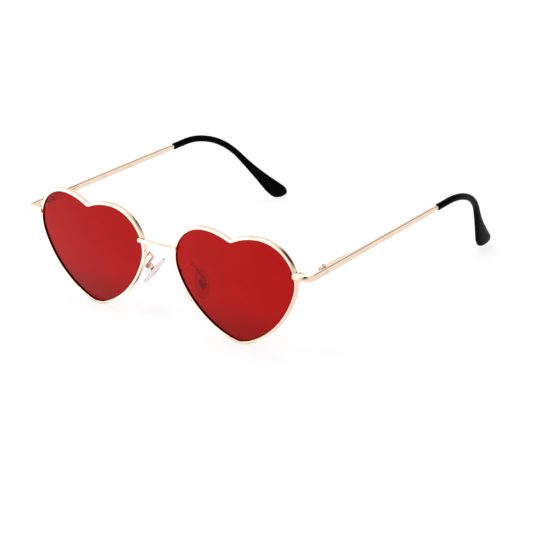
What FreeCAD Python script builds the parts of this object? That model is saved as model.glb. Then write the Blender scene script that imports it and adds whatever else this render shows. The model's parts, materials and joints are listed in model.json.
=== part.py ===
import FreeCAD, Part
import math
import os

V = FreeCAD.Vector
ORIGIN = V(0, 0, 0)
X = V(1, 0, 0)
Y = V(0, 1, 0)
Z = V(0, 0, 1)

# Heart shaped lens opening. Lengths are in millimetres, angles in degrees.
lens_width = 55.0
lens_height = 45.3
lobe_radius = 15.3
crown_radius = 24.5
flank_radius = 41.1
point_radius = 10.0
notch_radius = 3.0
heart_lean = 1.33

# Pose and curve of the front
eye_spacing = 72.4
front_radius = 229.0
wrap_angle = 3.25
tilt_angle = 6.65

# Rim and lens
rim_width = 1.1
rim_depth = 2.0
rim_edge = 0.25
rim_slit = 0.3
groove_depth = 0.5
groove_width = 0.7
lens_recess = 0.75
lens_thickness = 1.0
seat_play = 0.04

# Bridge bar
bridge_height = 1.6
bridge_depth = 1.3
bridge_bow = 0.5
bridge_reach = 1.1
bridge_edge = 0.3
bridge_rise_share = 0.245

# End piece, a strip laid on the rim's front and bent back to the hinge
strip_height = 2.7
strip_thickness = 1.2
strip_edge = 0.4
tab_reach = 0.2
end_reach = 7.32
end_bend_radius = 3.0
end_rise_share = 0.247
seat_bite = 0.25

# Closing blocks of the rim and their screw
block_wall = 1.4
block_depth = 2.3
block_height = 0.85
block_edge = 0.7
lock_screw_diameter = 1.1
lock_head_diameter = 1.9
lock_head_height = 0.45
lock_screw_sink = 0.35
lock_clearance = 0.16

# Temple hinge: fork on the end piece, eye of the tongue and pin
hinge_setback = 11.9
temple_yaw = 1.25
temple_pitch = 1.9
pin_diameter = 0.9
pin_play = 0.03
pin_head_diameter = 1.6
pin_head_height = 0.38
pin_head_lift = 0.04
knuckle_height = 1.0
knuckle_stand_off = 0.12
eye_height = 1.0
eye_play = 0.04
eye_radius = 0.85
fork_length = 3.2
fork_plate = 0.35
fork_foot = 0.7
butt_lead = 0.9
butt_gap = 0.12

# Spring hinge: case, tongue, bush, spring and collar
neck_width = 0.9
neck_length = 4.0
slide_play = 0.04
case_floor = 0.3
case_wall = 0.25
case_skin = 0.25
case_clear = 0.25
case_length = 16.5
case_round = 0.9
case_edge = 0.3
case_back_wall = 0.5
case_body_length = 10.2
case_tail_depth = 0.75
rod_diameter = 0.56
rod_tail = 0.9
rod_length = 6.4
rod_play = 0.05
bush_length = 1.0
bush_gap = 0.1
collar_length = 0.6
fit_play = 0.02
spring_wire = 0.2
spring_play = 0.1
spring_end_gap = 0.04
spring_turns = 5

# Temple bar and tip
bar_rear_height = 2.35
mouth_distance = 80.5
taper_length = 5.0
neck_height = 1.5
core_diameter = 1.1
core_play = 0.02
tip_straight = 7.8
tip_bend_radius = 39.4
tip_flare_radius = 215.0
tip_flare_length = 33.6
tip_lean = 18.5
mouth_height = 2.6
mouth_thickness = 2.3
paddle_width = 9.6
paddle_thickness = 2.6
tip_corner_share = 0.36
tip_swell_from_share = 0.66
tip_swell_to_share = 1.0
tip_slope_share = 0.05
tip_stations = 16
bend_halvings = 40
tip_end_turns = (25, 45, 62, 76, 84)
tip_end_length = 4.7
tip_end_fullness = 0.62
tip_end_slant = 33.0
tip_slant_from_share = 0.62
tip_end_lift = 0.66

# Nose pads with their cores, boxes, arms and screws
pad_spacing = 24.2
pad_setback = 11.5
pad_drop_share = 0.133
pad_length = 12.6
pad_width = 7.0
pad_thickness = 2.2
pad_edge = 0.8
pad_splay = 31.0
pad_pitch = 26.7
pad_twist = 17.6
core_plate_length = 5.0
core_plate_width = 3.0
core_plate_thickness = 0.7
lug_thickness = 0.9
lug_radius = 0.85
lug_reach = 1.25
box_wall = 0.45
box_base = 0.7
box_play = 0.06
box_clear = 0.15
box_length = 2.3
box_stand_off = 0.4
pad_screw_diameter = 0.8
pad_head_diameter = 1.5
pad_head_height = 0.35
arm_diameter = 1.0
arm_bend_radius = 1.5
arm_crown_rise = 1.7
arm_crown_setback = 5.2
arm_crown_offset = 1.65
arm_loop_drop = 1.1
arm_loop_setback = 7.6
arm_loop_offset = 1.8
arm_foot_share = 0.03

# Slots of the screws, the overrun of every cut, and what counts as the same place or direction
slot_share = 0.18
slot_depth_share = 0.5
overrun = 1.0
same_place = 1e-4
same_direction = 1e-6

# Sizes worked out from the ones above
half_width = lens_width / 2
half_height = lens_height / 2
lens_middle = lens_recess + lens_thickness / 2
groove_front = lens_middle - groove_width / 2
groove_back = lens_middle + groove_width / 2
front_sag = (lens_width ** 2 + lens_height ** 2) / (8 * front_radius)
prism_depth = front_sag + rim_depth + 4 * overrun
bore_radius = math.hypot(neck_width, eye_height) / 2 + slide_play
bar_offset = bore_radius + case_floor
knuckle_radius = bar_offset - knuckle_stand_off
fork_half_height = eye_height / 2 + eye_play + knuckle_height
case_front = knuckle_radius + case_clear
case_half_height = bore_radius + case_wall
case_inner = bore_radius + case_skin
pin_radius = pin_diameter / 2
rod_radius = rod_diameter / 2
rod_end = neck_length + rod_length
bush_start = neck_length + bush_gap
bush_end = bush_start + bush_length
collar_start = rod_end - rod_tail
bar_middle = bar_offset + strip_thickness / 2
core_radius = core_diameter / 2


def largest_solid(shape):
    """The largest solid that a cut left."""
    return max(shape.Solids, key=lambda solid: solid.Volume)


def box(x_from, x_to, y_from, y_to, z_from, z_to):
    """A box between two corners."""
    return Part.makeBox(x_to - x_from, y_to - y_from, z_to - z_from, V(x_from, y_from, z_from))


def rod(start, end, radius):
    """A straight round bar between two points."""
    run = end - start
    return Part.makeCylinder(radius, run.Length, start, run)


def rounded(shape, radius, wanted):
    """Round the edges for which the test is true."""
    return shape.makeFillet(radius, [edge for edge in shape.Edges if wanted(edge)])


def runs_along(edge, direction):
    """Whether an edge is straight and parallel to a direction."""
    if not isinstance(edge.Curve, Part.Line):
        return False
    return edge.tangentAt(edge.FirstParameter).cross(direction).Length < same_direction


def slotted_screw(start, end, radius, head_radius, head_height, slot_along):
    """A screw whose shank runs from start to end, with a slotted head before start."""
    along = (end - start).normalize()
    shank = rod(start, end, radius)
    head = rod(start - along * head_height, start, head_radius)
    head_rim = head_height * slot_depth_share
    top = start - along * head_height
    head = rounded(head, head_rim / 2, lambda edge: edge.CenterOfMass.isEqual(top, same_place))
    across = slot_along.cross(along)
    slot_half = head_radius * slot_share
    slot_reach = slot_along * (head_radius + overrun)
    slot_side = across * slot_half
    before = top - along * overrun
    corners = [before - slot_reach - slot_side, before + slot_reach - slot_side,
               before + slot_reach + slot_side, before - slot_reach + slot_side]
    slot = Part.Face(Part.makePolygon(corners + corners[:1]))
    slot = slot.extrude(along * (overrun + head_height * slot_depth_share))
    return shank.fuse(head).removeSplitter().cut(slot)


# Heart outline: five tangent arcs on each side of the axis


def polar(centre, radius, angle):
    """A point of the XZ plane at a direction from a centre."""
    return centre + V(radius * math.cos(angle), 0, radius * math.sin(angle))


def heading(start, end):
    """The direction from one point of the XZ plane to another, in radians."""
    return math.atan2(end.z - start.z, end.x - start.x)


def flat_arc(centre, radius, start, end):
    """An arc of the XZ plane between two directions."""
    points = [polar(centre, radius, angle) for angle in (start, (start + end) / 2, end)]
    return Part.Arc(*points).toShape()


lobe_centre = V(half_width - lobe_radius, 0, half_height - lobe_radius)
crown_centre = V(lobe_centre.x, 0, half_height - crown_radius)
point_centre = V(0, 0, point_radius - half_height)
notch_centre = V(0, 0, crown_centre.z + math.sqrt((crown_radius + notch_radius) ** 2 - crown_centre.x ** 2))


def find_flank_centre():
    """The centre of the flank arc, tangent to the lobe and to the point."""
    span = lobe_centre - point_centre
    to_lobe = flank_radius - lobe_radius
    to_point = flank_radius - point_radius
    along = (span.Length ** 2 + to_point ** 2 - to_lobe ** 2) / (2 * span.Length)
    across = math.sqrt(to_point ** 2 - along ** 2)
    ahead = V(span).normalize()
    return point_centre + ahead * along + V(-ahead.z, 0, ahead.x) * across


flank_centre = find_flank_centre()


def heart_wire(grow):
    """The heart outline, moved outwards by grow."""
    down = -math.pi / 2
    up = math.pi / 2
    to_lobe = heading(flank_centre, lobe_centre)
    to_point = heading(flank_centre, point_centre)
    half = [
        flat_arc(notch_centre, notch_radius - grow, down, heading(notch_centre, crown_centre)),
        flat_arc(crown_centre, crown_radius + grow, heading(crown_centre, notch_centre), up),
        flat_arc(lobe_centre, lobe_radius + grow, up, to_lobe),
        flat_arc(flank_centre, flank_radius + grow, to_lobe, to_point),
        flat_arc(point_centre, point_radius + grow, to_point, down),
    ]
    other = [edge.mirror(ORIGIN, X) for edge in half]
    wire = Part.Wire(Part.sortEdges(half + other)[0])
    wire.rotate(ORIGIN, Y, -heart_lean)
    return wire


def heart_prism(grow):
    """The heart outline drawn out through the whole depth of the front."""
    face = Part.Face(heart_wire(grow))
    face.translate(Y * (-2 * overrun))
    return face.extrude(Y * prism_depth)


def ball(depth):
    """The ball whose surface lies a depth behind the rim's front face."""
    return Part.makeSphere(front_radius - depth, V(0, front_radius, 0))


def layer(prism, front, back):
    """The part of a prism between two depths of the curved front."""
    return prism.common(ball(front)).cut(ball(back))


def outline_half_width(rise):
    """Half the width of the opening at a height on the lobe."""
    return lobe_centre.x + math.sqrt(lobe_radius ** 2 - (rise - lobe_centre.z) ** 2)


# Pose of the wearer's left eye, at +X. The other side is its mirror image.

tilt = math.radians(tilt_angle)
eye_reach = half_height + rim_width
eye_drop = eye_reach ** 2 / (2 * front_radius)
eye_rise = eye_reach * math.cos(tilt) - eye_drop * math.sin(tilt)
eye_turn = FreeCAD.Rotation(Z, wrap_angle).multiply(FreeCAD.Rotation(X, tilt_angle))
eye_place = FreeCAD.Placement(V(eye_spacing / 2, 0, eye_rise), eye_turn)


def at_eye(shape):
    """Put a shape of the eye's own frame in its place."""
    placed = shape.copy()
    placed.Placement = eye_place.multiply(placed.Placement)
    return placed


def eye_point(across, rise, depth):
    """A point of the curved front, a depth behind the rim's front face."""
    radius = front_radius - depth
    back = front_radius - math.sqrt(radius ** 2 - across ** 2 - rise ** 2)
    return eye_place.multVec(V(across, back, rise))


front_ball = at_eye(ball(0))
back_ball = at_eye(ball(rim_depth))
rim_prism = at_eye(heart_prism(rim_width))
end_rise = lens_height * end_rise_share
end_seat = eye_point(outline_half_width(end_rise) + rim_width / 2, end_rise, 0)
bridge_rise = lens_height * bridge_rise_share
bridge_seat = eye_point(-outline_half_width(bridge_rise) - rim_width / 2, bridge_rise, 0)


def make_rim():
    """The grooved rim, slit behind the end piece."""
    ring = layer(heart_prism(rim_width).cut(heart_prism(0)), 0, rim_depth)
    centre = V(0, front_radius, 0)

    def on_front(edge):
        middle = edge.valueAt((edge.FirstParameter + edge.LastParameter) / 2)
        return abs(middle.distanceToPoint(centre) - front_radius) < same_place

    ring = rounded(ring, rim_edge, on_front)
    ring = at_eye(ring.cut(layer(heart_prism(groove_depth), groove_front, groove_back)))
    slit = box(end_seat.x - rim_width - overrun, end_seat.x + rim_width + overrun,
               end_seat.y - overrun, end_seat.y + rim_depth + 2 * overrun,
               end_seat.z - rim_slit / 2, end_seat.z + rim_slit / 2)
    return largest_solid(ring.cut(slit))


def make_lens():
    """The curved lens with the ridge that sits in the groove."""
    body = layer(heart_prism(-seat_play), lens_recess, lens_recess + lens_thickness)
    ridge = layer(heart_prism(groove_depth - seat_play), groove_front + seat_play, groove_back - seat_play)
    return largest_solid(at_eye(body.fuse(ridge)))


def make_bridge():
    """The bridge bar, a bowed bar laid over both rims."""
    end_x = bridge_seat.x + bridge_reach
    back_y = bridge_seat.y + seat_bite
    low = bridge_seat.z - bridge_height / 2

    def bow(y):
        return Part.Arc(V(-end_x, y, low), V(0, y - bridge_bow, low), V(end_x, y, low)).toShape()

    def side(x):
        return Part.makeLine(V(x, back_y, low), V(x, back_y - bridge_depth, low))

    edges = [bow(back_y), side(end_x), bow(back_y - bridge_depth), side(-end_x)]
    bar = Part.Face(Part.Wire(Part.sortEdges(edges)[0])).extrude(Z * bridge_height)
    corner = bridge_height / 2 - bridge_edge / 2
    bar = rounded(bar, corner, lambda edge: runs_along(edge, Y))

    def on_front(edge):
        return isinstance(edge.Curve, Part.Circle) and abs(edge.CenterOfMass.x) < overrun \
            and edge.CenterOfMass.y < back_y - bridge_depth

    bar = rounded(bar, bridge_edge, on_front)
    bar = bar.cut(front_ball).cut(front_ball.mirror(ORIGIN, X))
    return largest_solid(bar)


# Pose of the temple hinge, whose pin stands on the local Z axis, with the temple along local Y

pin_x = end_seat.x + end_reach - bar_offset - strip_thickness
level_hinge = V(pin_x, end_seat.y + hinge_setback, end_seat.z)
hinge_yaw = FreeCAD.Rotation(Z, temple_yaw)
side_pitch = FreeCAD.Rotation(X, temple_pitch)
hinge_point = end_seat + side_pitch.multVec(level_hinge - end_seat)
hinge_place = FreeCAD.Placement(hinge_point, side_pitch.multiply(hinge_yaw))


def at_hinge(shape):
    """Put a shape of the hinge's own frame in its place."""
    placed = shape.copy()
    placed.Placement = hinge_place.multiply(placed.Placement)
    return placed


end_heading = wrap_angle + math.degrees(math.asin((end_seat.x - eye_spacing / 2) / front_radius))
end_turn = FreeCAD.Rotation(Z, end_heading)
end_place = FreeCAD.Placement(end_seat, side_pitch.multiply(end_turn))


def at_end(shape):
    """Put a shape of the end piece's own frame in its place."""
    placed = shape.copy()
    placed.Placement = end_place.multiply(placed.Placement)
    return placed


def bent_strip(start, corner, end, radius, thickness):
    """A flat outline of even thickness along two runs with a round bend between them."""
    first = (corner - start).normalize()
    second = (end - corner).normalize()
    turn = first.getAngle(second)
    setback = radius * math.tan(turn / 2)
    left_1 = V(-first.y, first.x, 0)
    left_2 = V(-second.y, second.x, 0)
    bend_from = corner - first * setback
    bend_to = corner + second * setback
    centre = bend_from + left_1 * radius
    middle = (corner - centre).normalize()
    edges = []
    ends = []
    for side in (1, -1):
        shift = thickness / 2 * side
        a = start + left_1 * shift
        b = bend_from + left_1 * shift
        c = centre + middle * (radius - shift)
        d = bend_to + left_2 * shift
        e = end + left_2 * shift
        edges += [Part.makeLine(a, b), Part.Arc(b, c, d).toShape(), Part.makeLine(d, e)]
        ends.append((a, e))
    edges.append(Part.makeLine(ends[0][0], ends[1][0]))
    edges.append(Part.makeLine(ends[0][1], ends[1][1]))
    return Part.Face(Part.Wire(Part.sortEdges(edges)[0]))


def make_end_piece():
    """The end piece: a strip from the rim's front, bent back to the hinge."""
    ahead = end_turn.multVec(X)
    inward = end_turn.multVec(Y)
    middle = end_seat + inward * (seat_bite - strip_thickness / 2)
    start = middle - ahead * (rim_width / 2 + tab_reach)
    end = level_hinge + hinge_yaw.multVec(V(bar_middle, -butt_lead - butt_gap / 2, 0))
    back = hinge_yaw.multVec(Y)
    reach = ((end - start).cross(back)).z / (ahead.cross(back)).z
    corner = start + ahead * reach
    strip = bent_strip(start, corner, end, end_bend_radius, strip_thickness)
    strip.translate(Z * (-strip_height / 2))
    strip = strip.extrude(Z * strip_height)
    tab_corner = strip_height / 2 - strip_edge / 2

    def at_tab(edge):
        return runs_along(edge, inward) and edge.CenterOfMass.distanceToPoint(start) < strip_height

    def on_side(edge):
        place = edge.CenterOfMass
        at_butt = place.distanceToPoint(end) < strip_height / 2
        return not runs_along(edge, inward) and not runs_along(edge, Z) and not at_butt

    strip = rounded(rounded(strip, tab_corner, at_tab), strip_edge, on_side)
    strip.rotate(end_seat, X, temple_pitch)
    return largest_solid(strip.cut(rim_prism.common(front_ball)))


block_start = seat_bite
lock_head_rise = end_rise - rim_slit / 2 - block_height - lock_head_height
rim_bulge = max(outline_half_width(lock_head_rise) - outline_half_width(end_rise), 0)
lock_x = rim_width / 2 + rim_bulge + lock_clearance + lock_head_diameter / 2
block_side = lock_x + block_wall
lock_y = block_start + block_depth / 2


def make_closing_block(side):
    """One of the two blocks that close the rim, above (1) or below (-1) its slit."""
    near = side * rim_slit / 2
    far = side * (rim_slit / 2 + block_height)
    block = box(0, block_side, block_start, block_start + block_depth, min(near, far), max(near, far))
    block = rounded(block, block_edge, lambda edge: runs_along(edge, Z) and edge.CenterOfMass.x > lock_x
                    and edge.CenterOfMass.y > lock_y)
    hole = rod(V(lock_x, lock_y, -block_height - overrun), V(lock_x, lock_y, block_height + overrun),
               lock_screw_diameter / 2 + fit_play)
    return largest_solid(at_end(block.cut(hole)).cut(rim_prism))


def make_lock_screw():
    """The screw that draws the two closing blocks together, put in from below."""
    reach = rim_slit / 2 + block_height
    return at_end(slotted_screw(V(lock_x, lock_y, -reach), V(lock_x, lock_y, reach - lock_screw_sink),
                                lock_screw_diameter / 2, lock_head_diameter / 2, lock_head_height, Y))


def make_hinge_fork():
    """The fork on the end piece: a plate with an upper and a lower knuckle."""
    plate = box(bar_offset - fork_plate, bar_offset, -fork_length, -eye_radius - case_clear,
                -fork_half_height, fork_half_height)
    fork = plate
    for side in (1, -1):
        low = min(side * (eye_height / 2 + eye_play), side * fork_half_height)
        knuckle = Part.makeCylinder(knuckle_radius, knuckle_height, V(0, 0, low))
        foot = box(-fork_foot, bar_offset, -fork_length + fork_plate, -butt_lead, low, low + knuckle_height)
        foot = rounded(foot, fork_foot, lambda edge: runs_along(edge, Z) and edge.CenterOfMass.x < 0
                       and edge.CenterOfMass.y < -fork_foot * 2)
        fork = fork.fuse(knuckle).fuse(foot)
    reach = fork_half_height + overrun
    hole = rod(V(0, 0, -reach), V(0, 0, reach), pin_radius + pin_play)
    return largest_solid(at_hinge(fork.removeSplitter().cut(hole)))


def make_hinge_screw():
    """The hinge screw, the pin on which the temple folds."""
    head_seat = V(0, 0, fork_half_height + pin_head_lift)
    return at_hinge(slotted_screw(head_seat, V(0, 0, -fork_half_height), pin_radius,
                                  pin_head_diameter / 2, pin_head_height, Y))


def make_tongue():
    """The tongue of the spring hinge: an eye on the pin, a square neck and a rod."""
    eye = Part.makeCylinder(eye_radius, eye_height, V(0, 0, -eye_height / 2))
    neck = box(-neck_width / 2, neck_width / 2, 0, neck_length, -eye_height / 2, eye_height / 2)
    shaft = rod(V(0, neck_length, 0), V(0, rod_end, 0), rod_radius)
    hole = rod(V(0, 0, -eye_height), V(0, 0, eye_height), pin_radius + pin_play)
    return largest_solid(at_hinge(eye.fuse(neck).fuse(shaft).removeSplitter().cut(hole)))


def make_bush():
    """The stop bush, fixed in the case, on which the spring pushes."""
    bush = rod(V(0, bush_start, 0), V(0, bush_end, 0), bore_radius - fit_play)
    return at_hinge(bush.cut(rod(V(0, 0, 0), V(0, rod_end, 0), rod_radius + rod_play)))


def make_collar():
    """The collar on the end of the rod, which holds the spring."""
    collar = rod(V(0, collar_start, 0), V(0, collar_start + collar_length, 0), bore_radius - spring_play)
    return at_hinge(collar.cut(rod(V(0, 0, 0), V(0, rod_end, 0), rod_radius + fit_play)))


def make_spring():
    """The hinge spring: one wire in even turns, each quarter turn a pair of tangent arcs."""
    coil_radius = rod_radius + rod_play + spring_wire / 2 + spring_play / 2
    first = bush_end + spring_wire / 2 + spring_end_gap
    last = collar_start - spring_wire / 2 - spring_end_gap
    quarters = 4 * spring_turns
    advance = (last - first) / (spring_turns * 2 * math.pi)

    def point(angle):
        return V(coil_radius * math.cos(angle), first + advance * angle, coil_radius * math.sin(angle))

    def tangent(angle):
        return V(-coil_radius * math.sin(angle), advance, coil_radius * math.cos(angle)).normalize()

    def tangent_arc(start, knee, end):
        weight = (end - start).Length / 2 / (knee - start).Length
        middle = (start + knee * (2 * weight) + end) * (1 / (2 + 2 * weight))
        return Part.Arc(start, middle, end).toShape()

    edges = []
    for quarter in range(quarters):
        start = quarter * math.pi / 2
        end = start + math.pi / 2
        chord = point(end) - point(start)
        lean = tangent(start) + tangent(end)
        spare = 4 - lean.dot(lean)
        reach = (math.sqrt(chord.dot(lean) ** 2 + spare * chord.dot(chord)) - chord.dot(lean)) / spare
        knee_1 = point(start) + tangent(start) * reach
        knee_2 = point(end) - tangent(end) * reach
        joint = (knee_1 + knee_2) * 0.5
        edges += [tangent_arc(point(start), knee_1, joint), tangent_arc(joint, knee_2, point(end))]
    path = Part.Wire(edges)
    ring = Part.Wire(Part.makeCircle(spring_wire / 2, point(0), tangent(0)))
    shell = Part.BRepOffsetAPI.MakePipeShell(path)
    shell.add(ring)
    shell.build()
    shell.makeSolid()
    steps = 24
    samples = [point(2 * math.pi * step / steps) for step in range(spring_turns * steps + 1)]
    least = min((samples[i] - samples[j]).Length for i in range(len(samples))
                for j in range(i + steps // 2, len(samples)))
    print("least gap between the spring's turns", round(least - spring_wire, 3))
    return at_hinge(shell.shape())


def make_spring_case():
    """The spring case on the inner face of the temple bar, bored for the tongue and its spring."""
    case_end = case_front + case_length
    body_end = case_front + case_body_length
    tail_x = bar_offset - case_tail_depth
    corners = ((bar_offset, case_front), (-case_inner, case_front), (-case_inner, body_end),
               (tail_x, case_end), (bar_offset, case_end))
    outline = [V(x, y, -case_half_height) for x, y in corners]
    case = Part.Face(Part.makePolygon(outline + outline[:1])).extrude(Z * (2 * case_half_height))

    def at_tail(edge):
        place = edge.CenterOfMass
        return runs_along(edge, Z) and place.x < bar_offset - case_edge and place.y > case_end - case_edge

    def on_back(edge):
        place = edge.CenterOfMass
        return not runs_along(edge, Z) and place.x < tail_x + case_edge and place.y > case_front + case_edge

    case = rounded(rounded(case, case_round, at_tail), case_edge, on_back)
    bore = rod(V(0, 0, 0), V(0, body_end - case_back_wall, 0), bore_radius)
    return largest_solid(at_hinge(case.cut(bore)))


# Path of the temple tip: straight, bent down and inwards round the ear, then a slight flare

mouth_point = V(bar_middle, mouth_distance, 0)
tip_down = V(-math.sin(math.radians(tip_lean)), 0, -math.cos(math.radians(tip_lean)))


def bent_point(distance, full_bend):
    """The point of a path with a given bend at a distance from its start, and the turn there."""
    straight = min(distance, tip_straight)
    bend = min(max(distance - tip_straight, 0) / tip_bend_radius, full_bend)
    flare = max(distance - tip_straight - tip_bend_radius * full_bend, 0) / tip_flare_radius
    turn = bend - flare
    ahead = straight + tip_bend_radius * math.sin(bend) + tip_flare_radius * (math.sin(bend) - math.sin(turn))
    down = tip_bend_radius * (1 - math.cos(bend)) + tip_flare_radius * (math.cos(turn) - math.cos(bend))
    return mouth_point + Y * ahead + tip_down * down, turn


def find_bend_turn():
    """The bend that brings the end of the tip down to the table, found by halving."""
    low = 0
    high = math.pi / 2
    for halving in range(bend_halvings):
        middle = (low + high) / 2
        length = tip_straight + tip_bend_radius * middle + tip_flare_length
        end = hinge_place.multVec(bent_point(length, middle)[0])
        if end.z > tip_end_lift:
            low = middle
        else:
            high = middle
    return (low + high) / 2


bend_turn = find_bend_turn()
bend_length = tip_bend_radius * bend_turn
tip_length = tip_straight + bend_length + tip_flare_length


def tip_point(distance):
    """The point of the tip's path at a distance from its mouth, and the turn there."""
    return bent_point(distance, bend_turn)


def tip_frame(distance):
    """The point, the run, the broad side and the thin side of the tip at a distance from its mouth."""
    point, turn = tip_point(distance)
    ahead = Y * math.cos(turn) + tip_down * math.sin(turn)
    broad = Y * math.sin(turn) - tip_down * math.cos(turn)
    settled = min(distance / (tip_straight + bend_length), 1)
    broad = FreeCAD.Rotation(ahead, -tip_lean * (1 - settled)).multVec(broad)
    return point, ahead, broad, ahead.cross(broad)


def rounded_rectangle(centre, across, up, width, height, radius):
    """A closed outline with round corners, in the plane of two directions."""
    bulge = radius * (1 - math.sqrt(0.5))
    sides = ((across, up, width, height), (up, across * -1, height, width),
             (across * -1, up * -1, width, height), (up * -1, across, height, width))
    edges = []
    for ahead, aside, reach, span in sides:
        side_from = centre + ahead * (reach / 2) - aside * (span / 2 - radius)
        side_to = centre + ahead * (reach / 2) + aside * (span / 2 - radius)
        middle = centre + ahead * (reach / 2 - bulge) + aside * (span / 2 - bulge)
        corner_to = centre + ahead * (reach / 2 - radius) + aside * (span / 2)
        edges += [Part.makeLine(side_from, side_to), Part.Arc(side_to, middle, corner_to).toShape()]
    return Part.Wire(edges)


def rounded_path(points, radius):
    """Straight runs through a row of points, with a round bend at each inner point."""
    edges = []
    start = points[0]
    for before, corner, after in zip(points, points[1:], points[2:]):
        first = (corner - before).normalize()
        second = (after - corner).normalize()
        half_turn = first.getAngle(second) / 2
        setback = radius * math.tan(half_turn)
        sag = radius / math.cos(half_turn) - radius
        bend_from = corner - first * setback
        bend_middle = corner + (second - first).normalize() * sag
        bend_to = corner + second * setback
        edges += [Part.makeLine(start, bend_from), Part.Arc(bend_from, bend_middle, bend_to).toShape()]
        start = bend_to
    return edges + [Part.makeLine(start, points[-1])]


def round_wire(edges, radius):
    """A round wire along a path of lines and arcs."""
    first = edges[0]
    start = first.valueAt(first.FirstParameter)
    ring = Part.Wire(Part.makeCircle(radius, start, first.tangentAt(first.FirstParameter)))
    shell = Part.BRepOffsetAPI.MakePipeShell(Part.Wire(edges))
    shell.add(ring)
    shell.build()
    shell.makeSolid()
    return shell.shape()


def tip_core(radius):
    """The core wire inside the tip, as far as the end of the bend."""
    bend_from = tip_point(tip_straight)[0]
    bend_middle = tip_point(tip_straight + bend_length / 2)[0]
    bend_to = tip_point(tip_straight + bend_length)[0]
    start = mouth_point - Y * (taper_length / 2)
    bend = Part.Arc(bend_from, bend_middle, bend_to).toShape()
    return round_wire([Part.makeLine(start, bend_from), bend], radius)


def make_temple():
    """The temple bar, drawn down to a neck at the tip's mouth, with its core wire."""
    stations = ((-butt_lead + butt_gap / 2, strip_height), (mouth_distance - taper_length, bar_rear_height),
                (mouth_distance, neck_height))
    upper = [V(bar_offset, y, height / 2) for y, height in stations]
    lower = [V(bar_offset, y, -height / 2) for y, height in reversed(stations)]
    side = Part.Face(Part.makePolygon(upper + lower + upper[:1]))
    bar = side.extrude(X * strip_thickness)

    def runs_back(edge):
        return abs(edge.tangentAt(edge.FirstParameter).y) > math.sqrt(0.5)

    bar = rounded(bar, strip_edge, runs_back)
    return largest_solid(at_hinge(bar.fuse(tip_core(core_radius))))


def make_tip():
    """The temple tip: a sleeve on the core wire that widens to a round paddle."""
    sleeve_length = tip_length - tip_end_length
    stations = []
    for station in range(tip_stations + 1):
        distance = sleeve_length * station / tip_stations
        along = distance / tip_length
        swell = (along - tip_swell_from_share) / (tip_swell_to_share - tip_swell_from_share)
        swell = min(max(swell, 0), 1)
        swell = swell ** 2 * (3 - 2 * swell) * (1 - tip_slope_share) + along * tip_slope_share
        width = mouth_height + (paddle_width - mouth_height) * swell
        thickness = mouth_thickness + (paddle_thickness - mouth_thickness) * along
        stations.append((distance, width, thickness))
    for turn in tip_end_turns:
        reach = math.radians(turn)
        distance = sleeve_length + tip_end_length * math.sin(reach)
        width = paddle_width * math.cos(reach) ** tip_end_fullness
        stations.append((distance, width, paddle_thickness * math.sqrt(math.cos(reach))))
    sections = []
    for distance, width, thickness in stations:
        point, ahead, broad, thin = tip_frame(distance)
        late = max(distance / tip_length - tip_slant_from_share, 0) / (1 - tip_slant_from_share)
        slant = math.radians(tip_end_slant) * late ** 2
        broad = broad * math.cos(slant) + ahead * math.sin(slant)
        corner = tip_corner_share * min(width, thickness)
        sections.append(rounded_rectangle(point, broad, thin, width, thickness, corner))
    sleeve = Part.makeLoft(sections, True, False)
    return largest_solid(at_hinge(sleeve.cut(tip_core(core_radius + core_play))))


# Pose of the nose pad: local Z along the pad, the nose on the side of local -X

pad_centre = V(pad_spacing / 2, pad_setback, eye_rise - lens_height * pad_drop_share)
pad_turn = FreeCAD.Rotation(Y, -pad_splay).multiply(FreeCAD.Rotation(X, -pad_pitch))
pad_turn = pad_turn.multiply(FreeCAD.Rotation(Z, -pad_twist))
pad_place = FreeCAD.Placement(pad_centre, pad_turn)
pad_back = pad_thickness / 2
lug_x = pad_back + lug_reach
box_inner = lug_x + lug_radius + box_clear
box_gap = lug_thickness / 2 + box_play
box_side = box_gap + box_wall


def at_pad(shape):
    """Put a shape of the nose pad's own frame in its place."""
    placed = shape.copy()
    placed.Placement = pad_place.multiply(placed.Placement)
    return placed


def oval(x, length, width):
    """An upright oval face at a distance along local X."""
    ellipse = Part.Ellipse(V(x, 0, length / 2), V(x, width / 2, 0), V(x, 0, 0))
    return Part.Face(Part.Wire(ellipse.toShape()))


def core_shape():
    """The core of the pad: an oval plate with a round lug for the screw."""
    plate = oval(pad_back - core_plate_thickness, core_plate_length, core_plate_width)
    plate = plate.extrude(X * core_plate_thickness)
    stem = box(pad_back - core_plate_thickness / 2, lug_x, -lug_thickness / 2, lug_thickness / 2,
               -lug_radius, lug_radius)
    eye = rod(V(lug_x, -lug_thickness / 2, 0), V(lug_x, lug_thickness / 2, 0), lug_radius)
    hole = rod(V(lug_x, -box_side, 0), V(lug_x, box_side, 0), pad_screw_diameter / 2 + pin_play)
    return plate.fuse(stem).fuse(eye).removeSplitter().cut(hole)


def make_pad_core():
    """The pad's core in its place."""
    return largest_solid(at_pad(core_shape()))


def make_nose_pad():
    """The soft oval pad, moulded round the plate of its core."""
    pad = oval(-pad_back, pad_length, pad_width).extrude(X * pad_thickness)
    pad = rounded(pad, pad_edge, lambda edge: isinstance(edge.Curve, Part.Ellipse))
    return largest_solid(at_pad(pad.cut(core_shape())))


def make_pad_box():
    """The pad box: a U shaped clip whose two cheeks hold the lug."""
    block = box(pad_back + box_stand_off, box_inner + box_base, -box_side, box_side,
                -box_length / 2, box_length / 2)
    block = rounded(block, box_wall, lambda edge: runs_along(edge, Y))
    room = box(pad_back, box_inner, -box_gap, box_gap, -box_length, box_length)
    reach = box_side + overrun
    hole = rod(V(lug_x, -reach, 0), V(lug_x, reach, 0), pad_screw_diameter / 2 + fit_play)
    return largest_solid(at_pad(block.cut(room).cut(hole)))


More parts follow.
